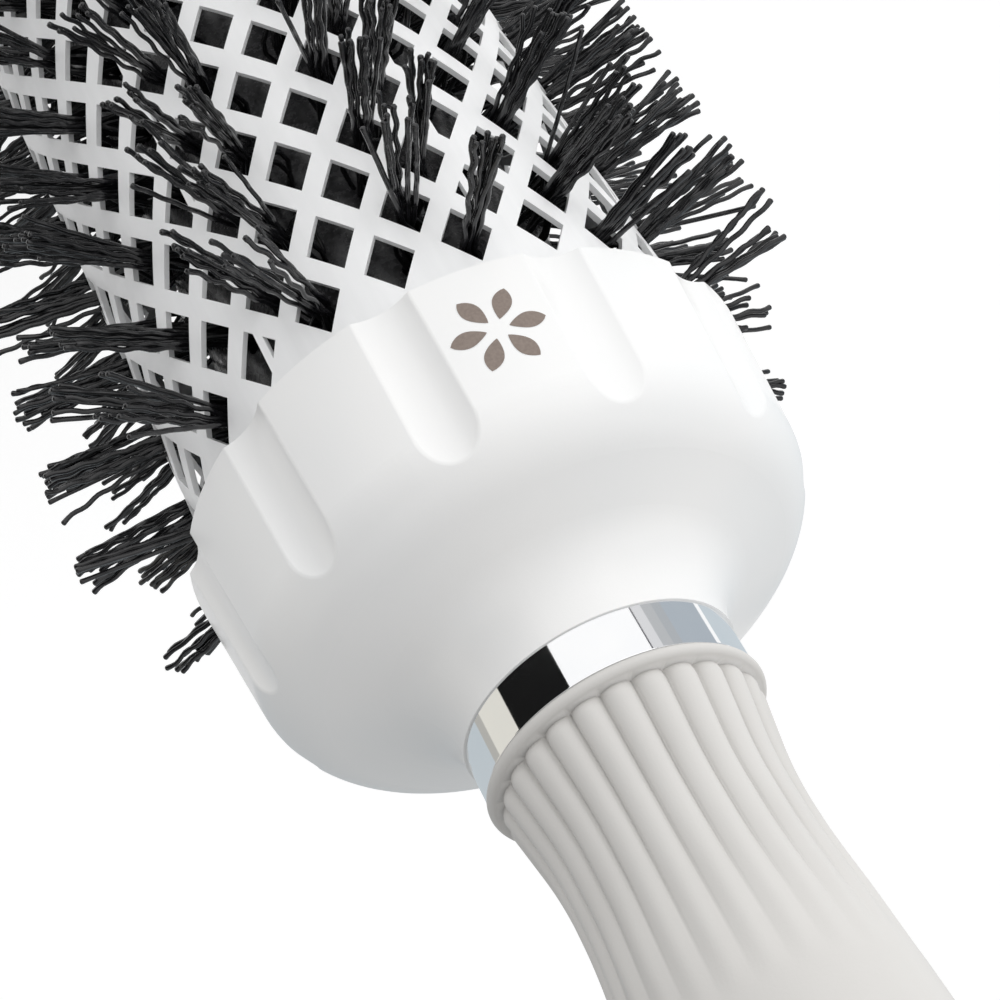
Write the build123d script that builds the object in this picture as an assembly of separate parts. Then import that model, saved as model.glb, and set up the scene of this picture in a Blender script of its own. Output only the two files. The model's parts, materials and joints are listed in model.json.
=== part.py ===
from build123d import *
from math import atan2, cos, degrees, radians
import os

# Round barrel brush, standing on its tip: +Z runs from the tip cap to the handle's tail.
# Millimetres. The axis of every turned piece is Z. FRONT_AZ is its front.

os.makedirs("parts", exist_ok=True)

# Heights along the axis
RIM_Z = 104.0  # open rim of the hub cup
RING_Z = 128.0  # hub side of the chrome ring
RING_H = 4.15
GRIP_END_Z = 238.0
TAIL_END_Z = 245.0
TOTAL_Z = 250.0

# Barrel
BARREL_R = 22.5
BARREL_WALL = 0.5
BARREL_FOOT_Z = 4.0
BARREL_END_Z = 112.0
COLUMNS = 44  # columns of diamond holes round the barrel
COLUMN_STEP = 360 / COLUMNS
HOLE_PITCH = 9.39  # along a column; neighbouring columns are half a pitch apart
TOP_HOLE_Z = 98.4
HOLE_HALF_H = 3.15
HOLE_HALF_W = 2.15
SEAM_COLUMNS = (-3, 4, 12, 20, 28, 36)  # where two mould slides meet
SEAM_STRUT = 0.65
SEAM_OFFSET = 0.95
FRONT_AZ = -90.0
PAIR_SHIFT = -2.0  # turn of the tufted pair from the front

# Tufts and their core
ROWS = 11  # double rows of tufts
BRISTLE_R = 34.0
CORE_R = 15.5
CORE_WALL = 2.8
SPIGOT_R = 8.0  # core's reduced ends, held by the tip cap and the hub
SOCKET_DEPTH = 2.0
TUFT_ROOT_R = 0.85
TUFT_WALL_R = 1.3
TUFT_TIP_R = 1.9

# Hub cup
CUP_RIM_R = 24.88
CUP_SHOULDER = (23.38, 119.3)
CUP_NECK = (11.5, 123.6)
CUP_BLEND = 6.0
FLUTES = 11
LIP_R = 0.5
FLUTE_R = 4.6
FLUTE_DEPTH = 0.8

# Ring, handle and grip
RING_R = 11.34
RING_EDGE_R = 0.08
NECK_R = 8.95
HANDLE_R = 7.0
CAVITY_R = 3.0  # long bore of the handle
GRIP_OUTLINE = ((9.83, 14.5), (10.1, 22), (11.0, 36), (11.9, 56), (12.1, 80))  # radius, height over RING_Z
RIBS = 25
RIB_PHASE = 1.4
RIB_DEPTH = 0.9
RIB_RUN = 30.0
BEAD_R = 0.85

# Screws
SHANK_R = 1.6
HEAD_R = 2.85

# Sectioning pick
ROD_R = 1.5
PICK_STROKE = 45.0
BUSH_Z = 228.0
KNOB_R = 4.6

GAP = 0.05  # radial clearance of pieces that fit together


def tube(r, z0, z1, bore=0.0):
    """Cylinder about Z between two heights, with a bore if one is given."""
    body = Pos(0, 0, z0) * Cylinder(r, z1 - z0, align=(Align.CENTER, Align.CENTER, Align.MIN))
    if bore:
        body -= tube(bore, z0 - 1, z1 + 1)
    return body


def turned(outline):
    """Solid of revolution of a closed (radius, height) outline."""
    return revolve(make_face(Plane.XZ * outline), Axis.Z)


def around(azimuth, r=0.0, z=0.0):
    """Place on the axis' side at an azimuth, with local X pointing outward."""
    return Rot(0, 0, azimuth) * Pos(r, 0, z)


# --- barrel ---------------------------------------------------------------


def column_azimuth(column):
    return FRONT_AZ + PAIR_SHIFT + (column + 1.5) * COLUMN_STEP


def column_heights(column):
    odd = column % 2
    return [TOP_HOLE_Z - HOLE_PITCH * (k + 0.5 * odd) for k in range(10 - odd)]


def hole_cutter(column):
    """Diamond prism along +X. A seam column keeps a thin strut on the side of the front slide."""
    diamond = Polygon((HOLE_HALF_W, 0), (0, HOLE_HALF_H), (-HOLE_HALF_W, 0), (0, -HOLE_HALF_H))
    if column in SEAM_COLUMNS:
        side = 1 if column < 0 else -1
        diamond -= Pos(side * SEAM_OFFSET, 0) * Rectangle(SEAM_STRUT, 2 * HOLE_HALF_H)
    return extrude(Plane.YZ * diamond, amount=2.5, both=True)


def barrel_shell():
    shell = tube(BARREL_R, BARREL_FOOT_Z, BARREL_END_Z, bore=BARREL_R - BARREL_WALL)
    first = SEAM_COLUMNS[0]
    cutters = []
    for column in range(first, first + COLUMNS):
        cutter = hole_cutter(column)
        for z in column_heights(column):
            cutters += (around(column_azimuth(column), BARREL_R, z) * cutter).solids()
    return shell - cutters


# --- tip ------------------------------------------------------------------


def tip_cap():
    plate = tube(BARREL_R + 0.5, 0, BARREL_FOOT_Z)
    plate = fillet(plate.edges().sort_by(Axis.Z)[0], 1.6)
    plate = fillet(plate.edges().sort_by(Axis.Z)[-1], 0.3)
    spigot = tube(BARREL_R - BARREL_WALL - GAP, BARREL_FOOT_Z, 9.0, bore=19.4)
    boss = tube(SPIGOT_R + 2, BARREL_FOOT_Z, 9.0, bore=SPIGOT_R + GAP)
    cap = plate + spigot + boss
    cap -= tube(HEAD_R + 0.25, -1, 2.2)
    cap -= tube(SHANK_R + GAP, 0, 6)
    for n in range(8):
        cap -= around(45 * n + 22.5, 14.5) * tube(2.2, -1, 6)
    return cap


def cross_screw(length):
    """Pan-head screw along -Z under its head, whose seat is at z = 0."""
    head = fillet(tube(HEAD_R, 0, 1.7).edges().sort_by(Axis.Z)[-1], 0.7)
    screw = head + tube(SHANK_R, -length + 1.5, 0)
    screw += Pos(0, 0, -length + 0.75) * Cone(0.5, SHANK_R, 1.5)
    for turn in (0, 90):
        screw -= Rot(0, 0, turn) * Pos(0, 0, 1.7) * Box(3.2, 0.7, 2.0)
    return screw


def tip_screw():
    return Pos(0, 0, 2.2) * Rot(180, 0, 0) * cross_screw(14)


# --- core and tufts -------------------------------------------------------

CORE_FOOT_Z = BARREL_FOOT_Z + GAP
CORE_TOP_Z = 112.9


def tufted_columns(row):
    """The two neighbouring columns that a double row fills."""
    return (4 * row - 2, 4 * row - 1)


def bristle_core():
    low, high = 9.5, 106.0
    core = tube(CORE_R, low, high) - tube(CORE_R - CORE_WALL, low + CORE_WALL, high - CORE_WALL)
    core += tube(SPIGOT_R, CORE_FOOT_Z, low + 9) + tube(SPIGOT_R, high - 16, CORE_TOP_Z)
    core -= tube(SHANK_R + GAP, CORE_FOOT_Z - 1, low + 10) + tube(SHANK_R + GAP, high - 17, CORE_TOP_Z + 1)
    sockets = []
    for row in range(ROWS):
        for column in tufted_columns(row):
            socket = Rot(0, 90, 0) * Cylinder(TUFT_ROOT_R + GAP, 2 * SOCKET_DEPTH)
            sockets += [around(column_azimuth(column), CORE_R, z) * socket for z in column_heights(column)]
    return core - sockets


def tuft():
    """One tuft along +X from its socket, through the barrel wall, to its splayed tip."""
    root = CORE_R - SOCKET_DEPTH + GAP
    outline = Polyline(
        (root, 0),
        (root, TUFT_ROOT_R),
        (CORE_R, TUFT_ROOT_R),
        (BARREL_R, TUFT_WALL_R),
        (BRISTLE_R - 0.4, TUFT_TIP_R),
        (BRISTLE_R, TUFT_TIP_R - 0.5),
        (BRISTLE_R, 0),
        close=True,
    )
    return revolve(make_face(Plane.XY * outline), Axis.X)


def bristle_row(row):
    one = tuft()
    tufts = [
        around(column_azimuth(column), 0, z) * one
        for column in tufted_columns(row)
        for z in column_heights(column)
    ]
    return Compound(children=[solid for placed in tufts for solid in placed.solids()])


# --- hub ------------------------------------------------------------------


def cup_wall_slope():
    """Tilt of the cup's wall from the axis, in degrees."""
    return degrees(atan2(CUP_RIM_R - CUP_SHOULDER[0], CUP_SHOULDER[1] - RIM_Z))


def hub_cup():
    seat_r = BARREL_R + GAP
    outer = FilletPolyline(
        (CUP_RIM_R, RIM_Z), CUP_SHOULDER, CUP_NECK, (CUP_NECK[0], RING_Z + 1.5), radius=CUP_BLEND
    )
    inner = Polyline(
        (CUP_NECK[0], RING_Z + 1.5),
        (NECK_R + GAP, RING_Z + 1.5),
        (NECK_R + GAP, 121.6),
        (20.6, 117.6),
        (20.6, BARREL_END_Z + GAP),
        (seat_r, BARREL_END_Z + GAP),
        (seat_r, RIM_Z),
        (CUP_RIM_R, RIM_Z),
    )
    cup = turned(outer + inner) - tube(40, RING_Z, RING_Z + 5)
    slope = cup_wall_slope()
    offset = FLUTE_R / cos(radians(slope)) - FLUTE_DEPTH
    flute = Pos(CUP_RIM_R + offset, 0, RIM_Z) * Rot(0, -slope, 0) * Cylinder(FLUTE_R, 60)
    for n in range(FLUTES):
        cup -= Rot(0, 0, FRONT_AZ + (n + 0.5) * 360 / FLUTES) * flute
    hollows = [f for f in cup.faces().filter_by(GeomType.CYLINDER) if abs(f.radius - FLUTE_R) < 0.01]
    lips = [e for f in hollows for e in f.edges() if e.center().Z > RIM_Z + 0.5]
    return fillet(lips, LIP_R)


HANDLE_FOOT_Z = 115.6


def hub_insert():
    disc = tube(BARREL_R - BARREL_WALL - GAP, 106.5, BARREL_END_Z)
    body = disc + tube(11, BARREL_END_Z, 119.0)
    body -= tube(SPIGOT_R + GAP, 100, CORE_TOP_Z + GAP)
    body -= tube(SHANK_R + GAP, CORE_TOP_Z, 119.5)
    body -= tube(5 + GAP, HANDLE_FOOT_Z - GAP, 119.5)
    for n in range(6):
        body -= around(60 * n + 30, 15.5) * tube(2.6, 100, 113)
    return body


def chrome_ring():
    ring = tube(RING_R, RING_Z, RING_Z + RING_H, bore=NECK_R + GAP)
    outer = ring.edges().filter_by(GeomType.CIRCLE).group_by(SortBy.RADIUS)[-1]
    return fillet(outer, RING_EDGE_R)


# --- handle ---------------------------------------------------------------


def handle_core():
    neck_top = RING_Z + RING_H - GAP
    core = tube(5, HANDLE_FOOT_Z, 119.1) + tube(NECK_R, 119.1, neck_top)
    core += tube(HANDLE_R, neck_top, GRIP_END_Z)
    core -= tube(CAVITY_R, 120.5, 239)
    core -= tube(SHANK_R + GAP, 110, 122)
    core -= tube(5 + GAP, BUSH_Z, 239)
    return core


def handle_screw():
    return Pos(0, 0, 120.5) * cross_screw(22)


def grip_sleeve():
    foot = RING_Z + RING_H
    bead_z = foot + 1.0
    outer = Line((HANDLE_R + GAP, foot), (10.9, foot))
    outer += ThreePointArc((10.9, foot), (11.8, bead_z), (11.0, bead_z + BEAD_R + 0.2))
    outer += Line((11.0, bead_z + BEAD_R + 0.2), (10.85, bead_z + 1.2))
    outer += Spline((10.85, bead_z + 1.2), *((r, RING_Z + s) for r, s in GRIP_OUTLINE), (11.6, GRIP_END_Z))
    outer += Polyline((11.6, GRIP_END_Z), (HANDLE_R + GAP, GRIP_END_Z), (HANDLE_R + GAP, foot))
    grip = turned(outer)
    valley = Polyline((-RIB_DEPTH, 0), (3, 0), (3, RIB_RUN), (0.6, RIB_RUN), close=True)
    blade = extrude(make_face(Plane.XZ * valley), amount=0.4, both=True)
    tool = Pos(10.35, 0, bead_z + 1.3) * blade
    for n in range(RIBS):
        grip -= Rot(0, 0, FRONT_AZ + RIB_PHASE + n * 360 / RIBS) * tool
    return grip


def tail_ring():
    ring = turned(
        FilletPolyline(
            (2.2, GRIP_END_Z + 0.05),
            (11.6, GRIP_END_Z + 0.05),
            (11.0, TAIL_END_Z),
            (2.2, TAIL_END_Z),
            radius=1.2,
        )
        + Line((2.2, TAIL_END_Z), (2.2, GRIP_END_Z + 0.05))
    )
    ring -= tube(4, GRIP_END_Z, GRIP_END_Z + 2.2)
    return ring - tube(KNOB_R + 0.4, TAIL_END_Z - 2, TAIL_END_Z + 1)


# --- sectioning pick ------------------------------------------------------


def guide_bush():
    bush = tube(5, BUSH_Z, GRIP_END_Z, bore=ROD_R + GAP)
    return bush - tube(2.9, GRIP_END_Z - 1.0, GRIP_END_Z + 1)


def o_ring():
    return Pos(0, 0, GRIP_END_Z + 0.1) * Torus(ROD_R + GAP + 0.65, 0.65)


STOP_TOP_Z = BUSH_Z - PICK_STROKE - 0.3


def pick_rod():
    rod = tube(ROD_R, STOP_TOP_Z - 6, TOTAL_Z - 2)
    return chamfer(rod.edges().sort_by(Axis.Z)[0], 0.4)


def pick_stop():
    return tube(CAVITY_R - 0.3, STOP_TOP_Z - 4, STOP_TOP_Z, bore=ROD_R)


def pick_knob():
    knob = tube(KNOB_R, TAIL_END_Z - 1.7, TOTAL_Z)
    knob = fillet(knob.edges().sort_by(Axis.Z)[-1], 2.2)
    knob = fillet(knob.edges().sort_by(Axis.Z)[0], 0.3)
    knob -= tube(ROD_R, TAIL_END_Z - 3, TOTAL_Z - 2)
    return knob


pieces = {
    "barrel_shell": barrel_shell(),
    "tip_cap": tip_cap(),
    "tip_screw": tip_screw(),
    "bristle_core": bristle_core(),
    "hub_cup": hub_cup(),
    "hub_insert": hub_insert(),
    "chrome_ring": chrome_ring(),
    "handle_core": handle_core(),
    "handle_screw": handle_screw(),
    "grip_sleeve": grip_sleeve(),
    "tail_ring": tail_ring(),
    "guide_bush": guide_bush(),
    "o_ring": o_ring(),
    "pick_rod": pick_rod(),
    "pick_stop": pick_stop(),
    "pick_knob": pick_knob(),
}
for row in range(ROWS):
    pieces[f"bristle_row_{row + 1:02d}"] = bristle_row(row)

for node, shape in pieces.items():
    export_step(shape, f"parts/{node}.step")
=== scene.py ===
import json
import math

import bpy
import numpy as np
from mathutils import Matrix, Vector


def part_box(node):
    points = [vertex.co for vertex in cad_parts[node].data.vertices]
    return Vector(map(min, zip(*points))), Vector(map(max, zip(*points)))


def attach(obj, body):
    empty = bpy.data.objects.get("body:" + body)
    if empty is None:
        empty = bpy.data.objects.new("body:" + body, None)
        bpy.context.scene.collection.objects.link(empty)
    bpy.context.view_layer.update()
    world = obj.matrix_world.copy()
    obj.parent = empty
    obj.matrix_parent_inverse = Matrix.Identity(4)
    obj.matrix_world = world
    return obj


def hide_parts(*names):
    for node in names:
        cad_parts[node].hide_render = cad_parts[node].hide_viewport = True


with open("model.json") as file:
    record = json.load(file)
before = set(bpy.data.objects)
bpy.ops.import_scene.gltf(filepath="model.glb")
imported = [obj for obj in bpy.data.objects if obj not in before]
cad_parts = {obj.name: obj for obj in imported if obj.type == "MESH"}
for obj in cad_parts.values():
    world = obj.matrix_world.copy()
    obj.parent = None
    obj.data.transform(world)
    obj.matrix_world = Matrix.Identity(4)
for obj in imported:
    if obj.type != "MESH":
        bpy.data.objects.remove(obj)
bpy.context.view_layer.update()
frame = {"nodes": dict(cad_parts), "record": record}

# Looks of a round barrel brush: crimped bristles, a ribbed soft grip, a printed mark, materials, studio.
# Lengths are in millimetres until a mesh is made; MM turns them into the frame's metres.

MM = 0.001
RNG = np.random.default_rng(41)

# Driving sizes, as the CAD has them
FRONT_AZ = -90.0
COLUMNS = 44
COLUMN_STEP = 360 / COLUMNS
PAIR_SHIFT = -2.0
HOLE_PITCH = 9.39
TOP_HOLE_Z = 98.4
TUFTS_UP = 10
ROWS = 11
RIBS = 25
RIB_PHASE = 1.4


def node_box(node):
    """Lowest and highest corner of a CAD node, in millimetres."""
    low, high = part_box(node)
    return np.array(low) / MM, np.array(high) / MM


BARREL_R = node_box("barrel_shell")[1][0]
CORE_R = node_box("bristle_core")[1][0]
CUP_RIM_R = node_box("hub_cup")[1][0]
RIM_Z = node_box("hub_cup")[0][2]
RING_TOP_Z = node_box("chrome_ring")[1][2]
GRIP_END_Z = node_box("grip_sleeve")[1][2]


# --- mesh helpers ---------------------------------------------------------


def new_piece(name, points, faces, material):
    """A mesh object from points in millimetres."""
    mesh = bpy.data.meshes.new(name)
    mesh.from_pydata((np.asarray(points) * MM).tolist(), [], faces)
    mesh.polygons.foreach_set("use_smooth", [True] * len(mesh.polygons))
    mesh.validate()
    piece = bpy.data.objects.new(name, mesh)
    bpy.context.scene.collection.objects.link(piece)
    mesh.materials.append(material)
    return piece


def quad_strip(low, high, count, closed):
    """Quads between two rows of points whose numbers start at low and high."""
    steps = range(count if closed else count - 1)
    return [(low + k, low + (k + 1) % count, high + (k + 1) % count, high + k) for k in steps]


def outward(azimuth):
    """Unit vector away from the axis at an azimuth in degrees."""
    angle = math.radians(azimuth)
    return np.array([math.cos(angle), math.sin(angle), 0.0])


# --- materials ------------------------------------------------------------


class Shader:
    """A node material, built one node at a time."""

    def __init__(self, name, color, **sockets):
        self.material = bpy.data.materials.new(name)
        self.material.use_nodes = True
        self.tree = self.material.node_tree
        self.bsdf = self.tree.nodes["Principled BSDF"]
        self.bsdf.inputs["Base Color"].default_value = (*color, 1)
        for socket, value in sockets.items():
            self.bsdf.inputs[socket.replace("_", " ")].default_value = value

    def node(self, kind, inputs=None, **settings):
        made = self.tree.nodes.new("ShaderNode" + kind)
        for key, value in settings.items():
            setattr(made, key, value)
        for key, value in (inputs or {}).items():
            if isinstance(value, bpy.types.NodeSocket):
                self.tree.links.new(value, made.inputs[key])
            else:
                made.inputs[key].default_value = value
        return made

    def place(self, scale):
        """Object coordinates in metres, stretched by scale per axis."""
        coords = self.node("TexCoord").outputs["Object"]
        return self.node("Mapping", {"Vector": coords, "Scale": scale}).outputs["Vector"]

    def noise(self, scale, detail=3.0):
        """Noise with so many lumps per metre along each axis."""
        values = {"Vector": self.place(scale), "Scale": 1.0, "Detail": detail, "Roughness": 0.55}
        return self.node("TexNoise", values).outputs["Fac"]

    def ramp(self, fac, low, high):
        """The middle range of a noise, taken to low..high."""
        values = {"Value": fac, "From Min": 0.3, "From Max": 0.7, "To Min": low, "To Max": high}
        return self.node("MapRange", values).outputs["Result"]

    def tint(self, fac, color_a, color_b):
        mix = self.node("Mix", data_type="RGBA")
        self.tree.links.new(fac, mix.inputs["Factor"])
        mix.inputs["A"].default_value = (*color_a, 1)
        mix.inputs["B"].default_value = (*color_b, 1)
        self.link(mix.outputs["Result"], "Base Color")

    def bump(self, height, distance):
        made = self.node("Bump", {"Height": height, "Distance": distance, "Strength": 1.0})
        self.link(made.outputs["Normal"], "Normal")

    def link(self, output, socket):
        self.tree.links.new(output, self.bsdf.inputs[socket])


def barrel_plastic():
    s = Shader("barrel_white", (0.87, 0.875, 0.88), IOR=1.46)
    streaks = s.noise((900, 900, 60), detail=4)
    s.tint(s.ramp(streaks, 0, 1), (0.85, 0.855, 0.86), (0.89, 0.895, 0.90))
    s.link(s.ramp(streaks, 0.34, 0.48), "Roughness")
    s.bump(streaks, 0.00002)
    return s.material


def pearl_plastic():
    s = Shader("pearl_white", (0.86, 0.86, 0.855), IOR=1.5, Coat_Weight=0.4, Coat_Roughness=0.18)
    flow = s.noise((60, 60, 40), detail=2)
    grain = s.noise((5200, 5200, 5200), detail=2)
    s.tint(s.ramp(flow, 0, 1), (0.845, 0.85, 0.85), (0.875, 0.872, 0.865))
    s.link(s.ramp(grain, 0.36, 0.44), "Roughness")
    s.bump(grain, 0.000004)
    return s.material


def mirror_chrome():
    s = Shader("mirror_chrome", (0.93, 0.94, 0.95), Metallic=1.0)
    haze = s.noise((300, 300, 300), detail=3)
    s.tint(s.ramp(haze, 0, 1), (0.92, 0.93, 0.945), (0.95, 0.955, 0.96))
    s.link(s.ramp(haze, 0.03, 0.06), "Roughness")
    return s.material


def soft_touch():
    s = Shader("soft_touch_grey", (0.615, 0.60, 0.58), IOR=1.42)
    cloud = s.noise((90, 90, 50), detail=3)
    grain = s.noise((4200, 4200, 4200), detail=3)
    s.tint(s.ramp(cloud, 0, 1), (0.595, 0.582, 0.562), (0.635, 0.622, 0.602))
    s.link(s.ramp(grain, 0.52, 0.66), "Roughness")
    s.bump(grain, 0.00001)
    return s.material


def black_nylon():
    s = Shader("black_nylon", (0.008, 0.008, 0.009), IOR=1.62)
    drawn = s.noise((2600, 2600, 2600), detail=2)
    s.tint(s.ramp(drawn, 0, 1), (0.006, 0.006, 0.007), (0.014, 0.014, 0.016))
    s.link(s.ramp(drawn, 0.10, 0.24), "Roughness")
    return s.material


def core_nylon():
    s = Shader("core_black", (0.026, 0.026, 0.028), IOR=1.5)
    grain = s.noise((1800, 1800, 1800), detail=3)
    s.tint(s.ramp(grain, 0, 1), (0.020, 0.020, 0.021), (0.034, 0.034, 0.037))
    s.link(s.ramp(grain, 0.16, 0.34), "Roughness")
    s.bump(grain, 0.00001)
    return s.material


def zinc_steel():
    s = Shader("zinc_steel", (0.55, 0.55, 0.56), Metallic=1.0)
    turned = s.noise((700, 700, 6000), detail=2)
    s.tint(s.ramp(turned, 0, 1), (0.5, 0.5, 0.51), (0.62, 0.62, 0.63))
    s.link(s.ramp(turned, 0.25, 0.4), "Roughness")
    return s.material


def seal_rubber():
    s = Shader("seal_rubber", (0.02, 0.02, 0.02))
    grain = s.noise((3000, 3000, 3000))
    s.tint(s.ramp(grain, 0, 1), (0.016, 0.016, 0.016), (0.026, 0.026, 0.026))
    s.link(s.ramp(grain, 0.6, 0.8), "Roughness")
    return s.material


def print_ink():
    s = Shader("taupe_ink", (0.22, 0.17, 0.14))
    grain = s.noise((4000, 4000, 4000))
    s.tint(s.ramp(grain, 0, 1), (0.20, 0.155, 0.13), (0.25, 0.20, 0.17))
    s.link(s.ramp(grain, 0.35, 0.5), "Roughness")
    return s.material


MATERIALS = {
    "barrel": barrel_plastic(),
    "pearl": pearl_plastic(),
    "chrome": mirror_chrome(),
    "grip": soft_touch(),
    "bristle": black_nylon(),
    "core": core_nylon(),
    "steel": zinc_steel(),
    "seal": seal_rubber(),
    "knob": pearl_plastic(),
}


def dress_cad_nodes():
    """Every CAD node gets the material of its slot."""
    for part in frame["record"]["subparts"]:
        node = frame["nodes"][part["node"]]
        node.data.materials.clear()
        node.data.materials.append(MATERIALS[part["material_slot"]])


# --- bristles -------------------------------------------------------------

FILAMENT_R = 0.215
FILAMENT_SIDES = 6
WIDTH_RANGE = (0.92, 1.1)  # of one filament against the next
# Widths of a filament's last rings, as shares of its radius: a slightly swollen, blunt end
END_WIDTHS = (1.04, 1.16, 1.0, 0.5)
END_STEPS = (0.55, 0.8)  # of the last two rings past the end of the path, as shares of the radius
FILAMENTS = (8, 12)  # in a tuft, the second number left out
CRIMP_WAVE = 2.6
CRIMP_SWING, SWING_RANGE = 0.09, (0.6, 1.6)
CRIMP_FLOOR, CRIMP_START = 0.3, 1.5  # share of the crimp at the wall, length over which the rest sets in
RINGS_PER_WAVE = 6
INNER_RINGS = 5
TIP_R = 33.2  # of the longest filaments
TIP_SCATTER = 0.9
ROOT_R = CORE_R - 1.0
WALL_R = BARREL_R - 1.0  # where a filament enters its hole
TUFT_LEAN = (0.75, 0.9)  # round the barrel, along it
TUFT_SPREAD = 1.25
HOLE_FILL = (0.55, 0.85)  # share of the spread that the hole lets through
FAN_RANGE = (0.5, 1.3)  # how far a filament leans out of its tuft, against its place in the tuft
TIGHTEST, LOOSER = 0.6, 1.4  # the tightest tuft, and how much more the loosest one fans out
STRAY_SHARE, STRAY_LEAN = 0.07, 2.2
ROOT_SCATTER, INNER_BOW, OUTER_BEND = 0.5, 1.0, 0.35
NO_FILAMENT = (0.3, 0.2, 0.93)  # a direction that no filament has


def column_azimuth(column):
    """Columns -2 and -1 lie on either side of the front."""
    return FRONT_AZ + PAIR_SHIFT + (column + 1.5) * COLUMN_STEP


def column_heights(column):
    """Heights of a column's tufts: odd columns sit half a pitch lower and have one tuft fewer."""
    odd = column % 2
    return [TOP_HOLE_Z - HOLE_PITCH * (k + 0.5 * odd) for k in range(TUFTS_UP - odd)]


def filament_path(azimuth, z, lean, spread, looseness):
    """Centre line of one crimped filament from the core to its tip."""
    out, up = outward(azimuth), np.array([0.0, 0.0, 1.0])
    side = np.cross(up, out)
    tip_r = TIP_R - abs(RNG.normal(0, TIP_SCATTER))
    inner = np.linspace(ROOT_R, WALL_R, INNER_RINGS, endpoint=False)
    radii = np.concatenate([inner, np.arange(WALL_R, tip_r, CRIMP_WAVE / RINGS_PER_WAVE)])
    start = RNG.normal(0, ROOT_SCATTER, 2)
    bow = RNG.normal(0, INNER_BOW, 2)
    hole = spread * np.array(HOLE_FILL)
    if RNG.uniform() < STRAY_SHARE:
        lean = lean + RNG.normal(0, STRAY_LEAN, 2)
    fan = spread * RNG.uniform(*FAN_RANGE) * looseness
    bend = RNG.normal(0, OUTER_BEND, 2)
    beyond = np.clip((radii - WALL_R) / (tip_r - WALL_R), 0, 1)[:, None]
    before = np.clip((radii - ROOT_R) / (WALL_R - ROOT_R), 0, 1)[:, None]
    drift = start + bow * np.sin(math.pi * before) + (hole - start) * before
    drift = drift + (lean + fan) * beyond + bend * beyond**2
    phase = RNG.uniform(0, 2 * math.pi)
    plane = RNG.uniform(0, math.pi)
    swing = CRIMP_SWING * RNG.uniform(*SWING_RANGE)
    swing = swing * np.clip((radii - WALL_R) / CRIMP_START + CRIMP_FLOOR, 0, 1)
    wave = swing * np.sin(2 * math.pi * radii / CRIMP_WAVE + phase)
    across = drift[:, 0] + wave * math.cos(plane)
    along = drift[:, 1] + wave * math.sin(plane)
    return radii[:, None] * out + across[:, None] * side + (z + along)[:, None] * up


def filament_mesh(path, radius, first):
    """Points and faces of a closed tube along path, with a blunt far end."""
    tangent = np.gradient(path, axis=0)
    tangent /= np.linalg.norm(tangent, axis=1)[:, None]
    ends = [path[-1:] + tangent[-1:] * radius * step for step in END_STEPS]
    path = np.concatenate([path, *ends])
    tangent = np.concatenate([tangent, tangent[-1:], tangent[-1:]])
    widths = np.full(len(path), radius)
    widths[-len(END_WIDTHS) :] = radius * np.array(END_WIDTHS)
    u = np.cross(tangent, NO_FILAMENT)
    u /= np.linalg.norm(u, axis=1)[:, None]
    v = np.cross(tangent, u)
    turn = np.linspace(0, 2 * math.pi, FILAMENT_SIDES, endpoint=False)
    ring = np.cos(turn)[None, :, None] * u[:, None] + np.sin(turn)[None, :, None] * v[:, None]
    points = (path[:, None] + widths[:, None, None] * ring).reshape(-1, 3)
    starts = [first + i * FILAMENT_SIDES for i in range(len(path))]
    faces = []
    for low in starts[:-1]:
        faces += quad_strip(low, low + FILAMENT_SIDES, FILAMENT_SIDES, True)
    faces.append(tuple(starts[0] + k for k in range(FILAMENT_SIDES))[::-1])
    faces.append(tuple(starts[-1] + k for k in range(FILAMENT_SIDES)))
    return points, faces


def bristle_row(row):
    """One double row of tufts, each a bundle of crimped filaments."""
    points, faces, first = [], [], 0
    for column in (4 * row - 2, 4 * row - 1):
        for z in column_heights(column):
            lean = RNG.normal(0, 1, 2) * np.array(TUFT_LEAN)
            looseness = TIGHTEST + LOOSER * RNG.uniform() ** 3
            for _ in range(int(RNG.integers(*FILAMENTS))):
                reach = TUFT_SPREAD * math.sqrt(RNG.uniform(0, 1))
                turn = RNG.uniform(0, 2 * math.pi)
                spread = reach * np.array([math.cos(turn), math.sin(turn)])
                path = filament_path(column_azimuth(column), z, lean, spread, looseness)
                made, quads = filament_mesh(path, FILAMENT_R * RNG.uniform(*WIDTH_RANGE), first)
                points.append(made)
                faces += quads
                first += len(made)
    name = f"bristle_row_{row + 1:02d}"
    piece = new_piece("crimped_" + name, np.concatenate(points), faces, MATERIALS["bristle"])
    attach(piece, "brush")
    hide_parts(name)


# --- grip -----------------------------------------------------------------

RIB_STEPS = 18
RIB_DEPTH = 1.05
RIB_START, RIB_FADE, FADE_POWER = 1.5, 24.5, 0.85
RIB_KEENNESS = 1.6  # how long the valleys stay sharp, against how long they stay deep
BEAD_R = 0.5
BEAD_TOP = 11.6
CREASE_R = 10.3  # between the bead and the domed rib ends
DOME_H = 1.0
BORE_R = 9.2
END_ROUND, END_FACE_R = 1.2, 8.0
# Rings of the mesh, as lowest, highest and how many: by angle on the rounded stretches, by height between
BEAD_TURNS, DOME_TURNS, END_TURNS = (-80, 80, 12), (8, 90, 8), (15, 90, 6)
RIBBED_RINGS, PLAIN_RINGS = (2.5, 34, 54), (37, 104.6, 30)
ARC_SHARE = 0.99  # of a half circle in a rib's section, so that no valley has an upright wall
# Crest radius of the sleeve at heights over the ring, with the bead and the rib ends apart
CREST = (
    (2.0, 10.85),
    (3.8, 10.55),
    (8.4, 9.88),
    (13.7, 9.80),
    (20.8, 10.35),
    (31.0, 11.0),
    (52.0, 11.9),
    (76.0, 12.1),
    (105.8, 11.6),
)


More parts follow.
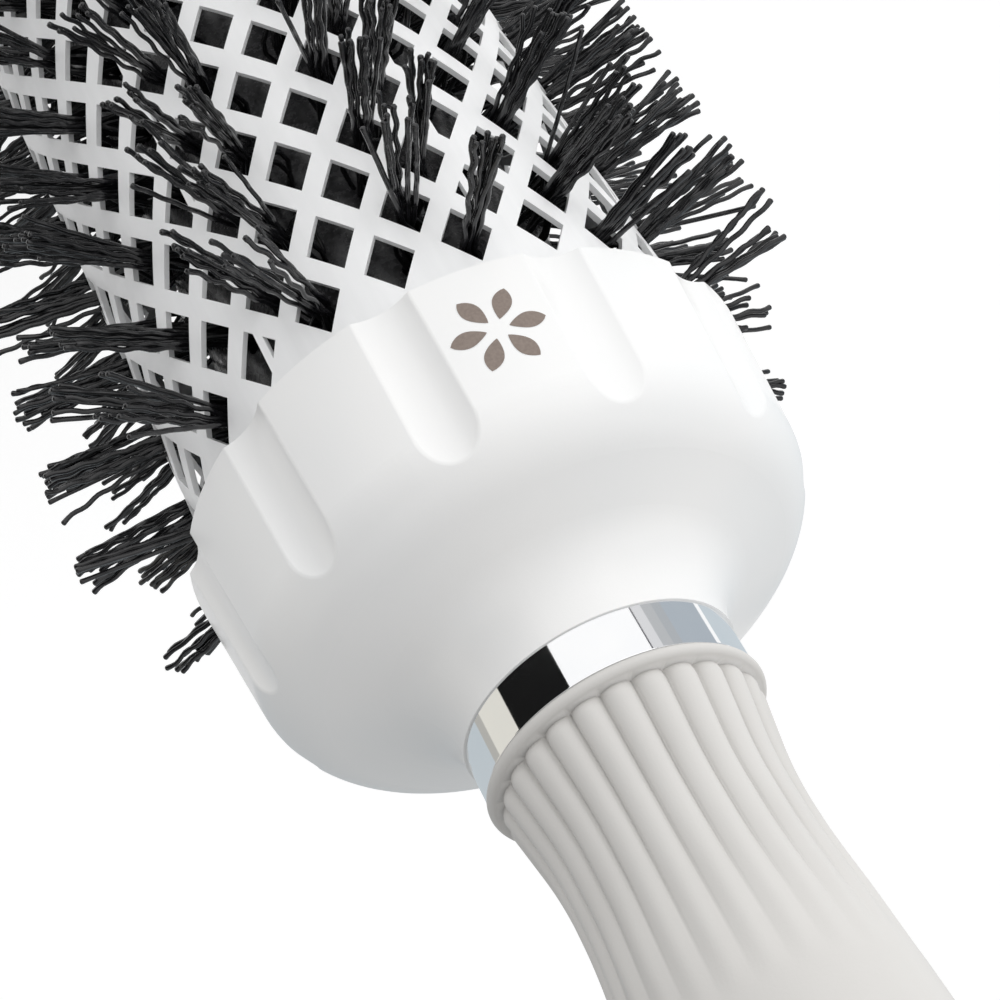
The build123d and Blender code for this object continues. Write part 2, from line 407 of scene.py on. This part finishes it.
def crest_radius(height):
    """Smooth curve through the crest radii, by cubic Hermite pieces."""
    h, r = (np.array(v) for v in zip(*CREST))
    slope = np.gradient(r, h)
    i = np.clip(np.searchsorted(h, height) - 1, 0, len(h) - 2)
    span = h[i + 1] - h[i]
    t = (height - h[i]) / span
    return (
        (2 * t**3 - 3 * t**2 + 1) * r[i]
        + (t**3 - 2 * t**2 + t) * span * slope[i]
        + (3 * t**2 - 2 * t**3) * r[i + 1]
        + (t**3 - t**2) * span * slope[i + 1]
    )


def grip_rings():
    """(height over the ring, crest radius, depth of the valleys, how sharp they are) up the sleeve."""
    rings = [(0.0, BORE_R, 0.0, 0.0), (0.0, BEAD_TOP - BEAD_R, 0.0, 0.0)]
    for turn in np.radians(np.linspace(*BEAD_TURNS)):
        radius = BEAD_TOP - BEAD_R + BEAD_R * math.cos(turn)
        rings.append((BEAD_R * (1 + math.sin(turn)), radius, 0.0, 0.0))
    foot, end = 2 * BEAD_R, GRIP_END_Z - RING_TOP_Z
    first_crest, last_crest = CREST[0][1], CREST[-1][1]
    domes = foot + DOME_H * (1 - np.cos(np.radians(np.linspace(*DOME_TURNS))))
    for height in np.concatenate([domes, np.linspace(*RIBBED_RINGS), np.linspace(*PLAIN_RINGS)]):
        fade = (1 - np.clip((height - RIB_START) / RIB_FADE, 0, 1)) ** FADE_POWER
        if height <= foot + DOME_H:
            rise = math.sqrt(max(0, 1 - (1 - (height - foot) / DOME_H) ** 2))
            crest = CREASE_R + (first_crest - CREASE_R) * rise
            depth = RIB_DEPTH - (first_crest - crest)
        else:
            crest, depth = float(crest_radius(height)), RIB_DEPTH * fade
        rings.append((height, crest, depth, min(1.0, RIB_KEENNESS * fade)))
    for turn in np.radians(np.linspace(*END_TURNS)):
        inset = END_ROUND * (1 - math.cos(turn))
        rings.append((end - END_ROUND * (1 - math.sin(turn)), last_crest - inset, 0.0, 0.0))
    rings.append((end, END_FACE_R, 0.0, 0.0))
    return rings


def grip_sleeve():
    """Soft sleeve: a bead against the ring, then convex ribs that fade out along the handle."""
    phase = np.linspace(-0.5, 0.5, RIB_STEPS, endpoint=False)
    sharp = 1 - np.sqrt(1 - (2 * phase) ** 2 * ARC_SHARE)
    sharp = np.tile(sharp / sharp.max(), RIBS)
    soft = np.tile(np.sin(math.pi * phase) ** 2, RIBS)
    count = RIBS * RIB_STEPS
    azimuth = math.radians(FRONT_AZ + RIB_PHASE) + np.arange(count) * 2 * math.pi / count
    points, faces = [], []
    rings = grip_rings()
    for height, crest, depth, sharpness in rings:
        radius = crest - depth * (sharpness * sharp + (1 - sharpness) * soft)
        level = np.full(count, RING_TOP_Z + height)
        points.append(np.stack([radius * np.cos(azimuth), radius * np.sin(azimuth), level], 1))
    for i in range(len(rings) - 1):
        faces += quad_strip(i * count, (i + 1) * count, count, True)
    piece = new_piece("ribbed_sleeve", np.concatenate(points), faces, MATERIALS["grip"])
    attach(piece, "brush")
    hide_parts("grip_sleeve")


# --- printed mark ---------------------------------------------------------

MARK_Z = 110.1
MARK_PETALS = 6
PETAL_START, PETAL_END = 0.9, 3.8
PETAL_STEPS = 15
PETAL_HALF_W, PETAL_TIP_W = 0.72, 0.01
PETAL_BLUNTNESS = 0.8
INNER_WIDTH, OUTER_WIDTH = 0.75, 1.25  # a petal is wider in its outer half
INK_HEIGHT = 0.02
CUP_WALL_FOOT, CUP_SHOULDER = (24.88, 104.0), (23.38, 119.3)  # radius and height
CUP_TAPER = (CUP_WALL_FOOT[0] - CUP_SHOULDER[0]) / (CUP_SHOULDER[1] - CUP_WALL_FOOT[1])


def printed_mark():
    """A plain rosette on the front land of the cup, as a film of ink on its wall."""
    points, faces = [], []
    steps = np.linspace(0, 1, PETAL_STEPS)
    for n in range(MARK_PETALS):
        turn = 2 * math.pi * n / MARK_PETALS
        along = np.array([math.cos(turn), math.sin(turn)])
        across = np.array([-along[1], along[0]])
        first = len(points)
        for t in steps:
            middle = along * (PETAL_START + (PETAL_END - PETAL_START) * t)
            swell = INNER_WIDTH + (OUTER_WIDTH - INNER_WIDTH) * t
            half = PETAL_HALF_W * math.sin(math.pi * t) ** PETAL_BLUNTNESS * swell + PETAL_TIP_W
            points += [middle - across * half, middle, middle + across * half]
        for i in range(len(steps) - 1):
            low = first + 3 * i
            faces += [(low, low + 1, low + 4, low + 3), (low + 1, low + 2, low + 5, low + 4)]
    flat = np.array(points)
    z = MARK_Z + flat[:, 1]
    radius = CUP_RIM_R - CUP_TAPER * (z - RIM_Z) + INK_HEIGHT
    azimuth = math.radians(FRONT_AZ) + flat[:, 0] / radius
    shaped = np.stack([radius * np.cos(azimuth), radius * np.sin(azimuth), z], 1)
    piece = new_piece("printed_rosette", shaped, faces, print_ink())
    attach(piece, "brush")


# --- studio ---------------------------------------------------------------

LENS = 81.4
SHIFT = (-0.05, -0.08)
CAMERA_AZ = -74.27
CAMERA_REACH = 151.2
CAMERA_Z = 213.7
HEADING = 108.6
PITCH = -36.33
ROLL = 149.1


def camera():
    data = bpy.data.cameras.new("camera")
    data.lens = LENS
    data.shift_x, data.shift_y = SHIFT
    data.clip_start = 0.005
    shot = bpy.data.objects.new("camera", data)
    bpy.context.scene.collection.objects.link(shot)
    turn = Matrix.Rotation(math.radians(HEADING - 90), 4, "Z")
    turn = turn @ Matrix.Rotation(math.radians(90 + PITCH), 4, "X")
    turn = turn @ Matrix.Rotation(math.radians(ROLL), 4, "Z")
    place = outward(CAMERA_AZ) * CAMERA_REACH + np.array([0, 0, CAMERA_Z])
    shot.matrix_world = Matrix.Translation(Vector(place * MM)) @ turn
    bpy.context.scene.camera = shot


def glow(name, color):
    """Even emission, for reflectors."""
    s = Shader(name, (0, 0, 0), Roughness=1.0, Emission_Strength=1.0)
    s.bsdf.inputs["Specular IOR Level"].default_value = 0
    s.bsdf.inputs["Emission Color"].default_value = (*color, 1)
    return s.material


FLOOR_GLOW = 0.56
FLOOR_REACH = 30000.0


def floor():
    s = Shader("pale_floor", (0.62, 0.62, 0.62), Roughness=0.9, Emission_Strength=FLOOR_GLOW)
    s.bsdf.inputs["Emission Color"].default_value = (1, 1, 1, 1)
    corners = [(x * FLOOR_REACH, y * FLOOR_REACH, 0) for x, y in ((-1, -1), (1, -1), (1, 1), (-1, 1))]
    ground = new_piece("floor", corners, [(0, 1, 2, 3)], s.material)
    ground.visible_diffuse = False


CARD_REACH = 200.0
CARD_FOOT, CARD_HEIGHT = 1.0, 260.0
CARD_STEP = 4  # degrees of a card's arc to a face
# Standing cards that only reflections see: from azimuth, to azimuth, colour
CARDS = (
    (-58.5, -7, (0.009, 0.009, 0.009)),
    (-7, 22, (0.74, 0.72, 0.655)),
    (22, 31, (0.45, 0.44, 0.41)),
    (31, 110, (0.52, 0.57, 0.60)),
    (-127.6, -126.4, (0.12, 0.12, 0.13)),
    (-136, -127.6, (0.72, 0.72, 0.73)),
    (-145, -136, (0.50, 0.51, 0.52)),
    (-153, -145, (0.44, 0.46, 0.48)),
    (-187, -153, (0.43, 0.475, 0.52)),
    (-192, -187, (1.0, 1.0, 1.0)),
    (-240, -192, (0.58, 0.64, 0.68)),
)


def cards():
    for n, (start, end, color) in enumerate(CARDS):
        turns = np.linspace(start, end, 2 + int((end - start) / CARD_STEP))
        foot = np.array([outward(turn) * CARD_REACH + (0, 0, CARD_FOOT) for turn in turns])
        top = foot + (0, 0, CARD_HEIGHT)
        faces = quad_strip(0, len(turns), len(turns), False)
        card = new_piece(f"card_{n}", np.concatenate([foot, top]), faces, glow(f"card_{n}", color))
        card.visible_camera = False
        card.visible_diffuse = False
        card.visible_shadow = False
        card.visible_transmission = False


# Light from all round, brightest from the key's side
KEY_AZ = -142.7
KEY_ELEVATION = -27.7
MEAN_LIGHT = 0.94
LIGHT_SWING = 0.68


def sky():
    """Even studio light that is brighter towards the key side."""
    world = bpy.data.worlds.new("studio")
    world.use_nodes = True
    tree = world.node_tree
    tilt = math.radians(KEY_ELEVATION)
    way = outward(KEY_AZ) * math.cos(tilt) + (0, 0, math.sin(tilt))
    coords = tree.nodes.new("ShaderNodeTexCoord")
    dot = tree.nodes.new("ShaderNodeVectorMath")
    dot.operation = "DOT_PRODUCT"
    dot.inputs[1].default_value = way
    tree.links.new(coords.outputs["Generated"], dot.inputs[0])
    scaled = tree.nodes.new("ShaderNodeMath")
    scaled.operation = "MULTIPLY_ADD"
    scaled.inputs[1].default_value = LIGHT_SWING
    scaled.inputs[2].default_value = MEAN_LIGHT
    tree.links.new(dot.outputs["Value"], scaled.inputs[0])
    tree.links.new(scaled.outputs["Value"], tree.nodes["Background"].inputs["Strength"])
    tree.nodes["Background"].inputs["Color"].default_value = (1, 1, 1, 1)
    bpy.context.scene.world = world


def studio():
    bpy.context.scene.view_settings.view_transform = "Standard"
    sky()
    floor()
    cards()
    camera()


dress_cad_nodes()
for row in range(ROWS):
    bristle_row(row)
grip_sleeve()
printed_mark()
studio()
